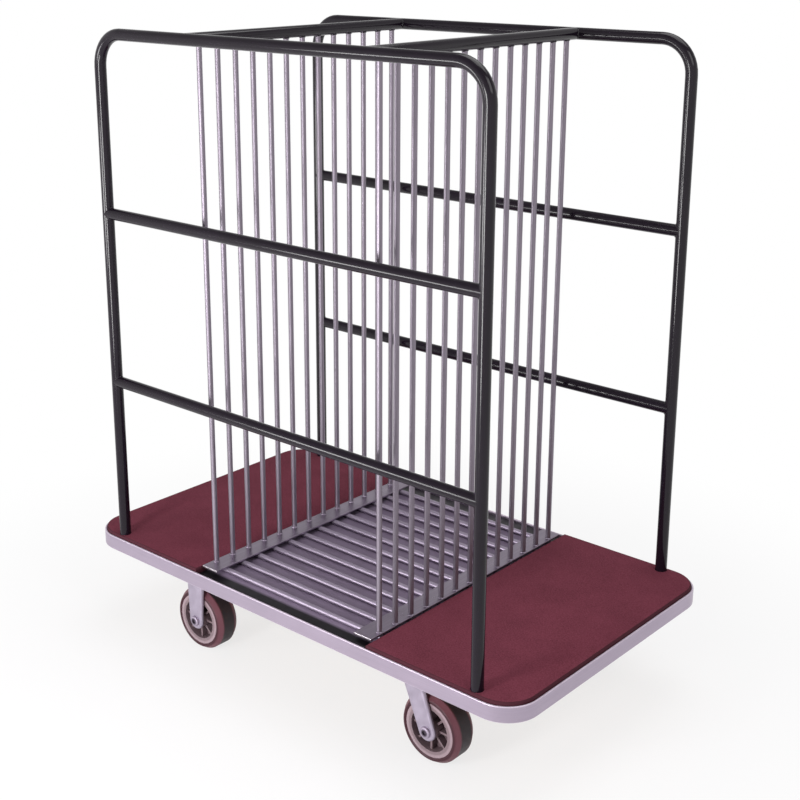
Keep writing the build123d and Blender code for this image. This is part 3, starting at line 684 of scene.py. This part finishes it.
# Stage: a pale floor that fades to the white of the surround, soft lamps and the camera
floorLook = {"colour": "f6f4f6", "size": 14, "near": 0.75, "shadowTo": 0.5, "whiteFrom": 1.3}
deselectAll()
bpy.ops.mesh.primitive_plane_add(size=floorLook["size"], location=(0, 0, 0))
floor = bpy.context.object
floor.name = "studioFloor"
floorPaper, tree, place = startMaterial("pale studio paper")
rays = addNode(tree, "ShaderNodeLightPath")
seen = addNode(tree, "ShaderNodeMath", {"operation": "MAXIMUM"},
               {"Value": rays.outputs["Is Camera Ray"], "Value_001": rays.outputs["Is Glossy Ray"]})
seen = addNode(tree, "ShaderNodeMath", {"operation": "MAXIMUM"},
               {"Value": seen, "Value_001": rays.outputs["Is Transmission Ray"]})
away = addNode(tree, "ShaderNodeVectorMath", {"operation": "LENGTH"}, {"Vector": place})
fade = addNode(tree, "ShaderNodeMapRange",
               {"interpolation_type": "SMOOTHSTEP", "From Min": floorLook["shadowTo"],
                "From Max": floorLook["whiteFrom"], "To Min": floorLook["near"]}, {"Value": away})
fade = addNode(tree, "ShaderNodeMath", {"operation": "MULTIPLY"}, {"Value": fade, "Value_001": seen})
paper = addNode(tree, "ShaderNodeBsdfDiffuse", {"Color": linear(floorLook["colour"])})
white = addNode(tree, "ShaderNodeEmission", {"Color": (1, 1, 1, 1), "Strength": 1.0})
mixed = addNode(tree, "ShaderNodeMixShader", {}, {"Fac": fade, "Shader": paper, "Shader_001": white})
addNode(tree, "ShaderNodeOutputMaterial", {}, {"Surface": mixed})
floor.data.materials.append(floorPaper)

lamps = {
    "uprightStrip": {"place": (0.05, -2.1, 0.66), "aim": (0, 0, 0.66), "size": (0.42, 1.2), "power": 35},
    "railStrip": {"place": (-1.2, -2.1, 0.55), "aim": (0, 0, 0.55), "size": (0.8, 0.42), "power": 16},
    "fillLamp": {"place": (2.7, -0.6, 2.7), "aim": (0, 0, 0.4), "size": (1.6, 1.6), "power": 24},
    "topLamp": {"place": (0.3, 0.6, 3.4), "aim": (0, 0, 0.3), "size": (2.2, 2.2), "power": 42},
}
for name, lamp in lamps.items():
    light = bpy.data.lights.new(name, "AREA")
    light.shape = "RECTANGLE"
    light.size, light.size_y = lamp["size"]
    light.energy = lamp["power"]
    stand = bpy.data.objects.new(name, light)
    bpy.context.scene.collection.objects.link(stand)
    stand.location = lamp["place"]
    towards = Vector(lamp["aim"]) - Vector(lamp["place"])
    stand.rotation_euler = towards.to_track_quat("-Z", "Y").to_euler()

# The world is white to the eye and in reflections, dimmer overhead there, and softer as light on the object
surround = {"seen": 1.0, "light": 0.33, "overhead": 0.35, "paleTo": 0.1, "dimFrom": 0.7}
world = bpy.data.worlds.new("studioSurround")
bpy.context.scene.world = world
world.use_nodes = True
tree = world.node_tree
tree.nodes.clear()
rays = addNode(tree, "ShaderNodeLightPath")
direction = addNode(tree, "ShaderNodeTexCoord").outputs["Generated"]
upward = addNode(tree, "ShaderNodeSeparateXYZ", {}, {"Vector": direction}).outputs["Z"]
ceiling = addNode(tree, "ShaderNodeMapRange",
                  {"From Min": surround["paleTo"], "From Max": surround["dimFrom"],
                   "To Min": surround["seen"], "To Max": surround["overhead"]}, {"Value": upward})
mirrored = addNode(tree, "ShaderNodeMath", {"operation": "MAXIMUM"},
                   {"Value": rays.outputs["Is Glossy Ray"],
                    "Value_001": rays.outputs["Is Transmission Ray"]})
mirrored = addNode(tree, "ShaderNodeMath", {"operation": "MULTIPLY"},
                   {"Value": mirrored, "Value_001": ceiling})
strength = addNode(tree, "ShaderNodeMath", {"operation": "MAXIMUM"},
                   {"Value": rays.outputs["Is Camera Ray"], "Value_001": mirrored})
strength = addNode(tree, "ShaderNodeMath", {"operation": "MAXIMUM", "Value_001": surround["light"]},
                   {"Value": strength})
glow = addNode(tree, "ShaderNodeBackground", {"Color": (1, 1, 1, 1)}, {"Strength": strength})
addNode(tree, "ShaderNodeOutputWorld", {}, {"Surface": glow})

# Camera at the photograph's angle, worked out for an image of 800 by 800 pixels
view = {"place": (1.6192, -1.8519, 1.3791), "azimuth": 41.6, "down": 15.8, "image": 800, "focal": 1366.2,
        "axisAt": (375.9, 320.0), "sensor": 36.0}
lens = bpy.data.cameras.new("viewCamera")
lens.sensor_width = view["sensor"]
lens.lens = view["focal"] / view["image"] * view["sensor"]
lens.shift_x = 0.5 - view["axisAt"][0] / view["image"]
lens.shift_y = view["axisAt"][1] / view["image"] - 0.5
camera = bpy.data.objects.new("viewCamera", lens)
bpy.context.scene.collection.objects.link(camera)
camera.location = view["place"]
camera.rotation_euler = (math.radians(90 - view["down"]), 0, math.radians(view["azimuth"]))
bpy.context.scene.camera = camera
bpy.context.scene.view_settings.view_transform = "Standard"
print("stage set")
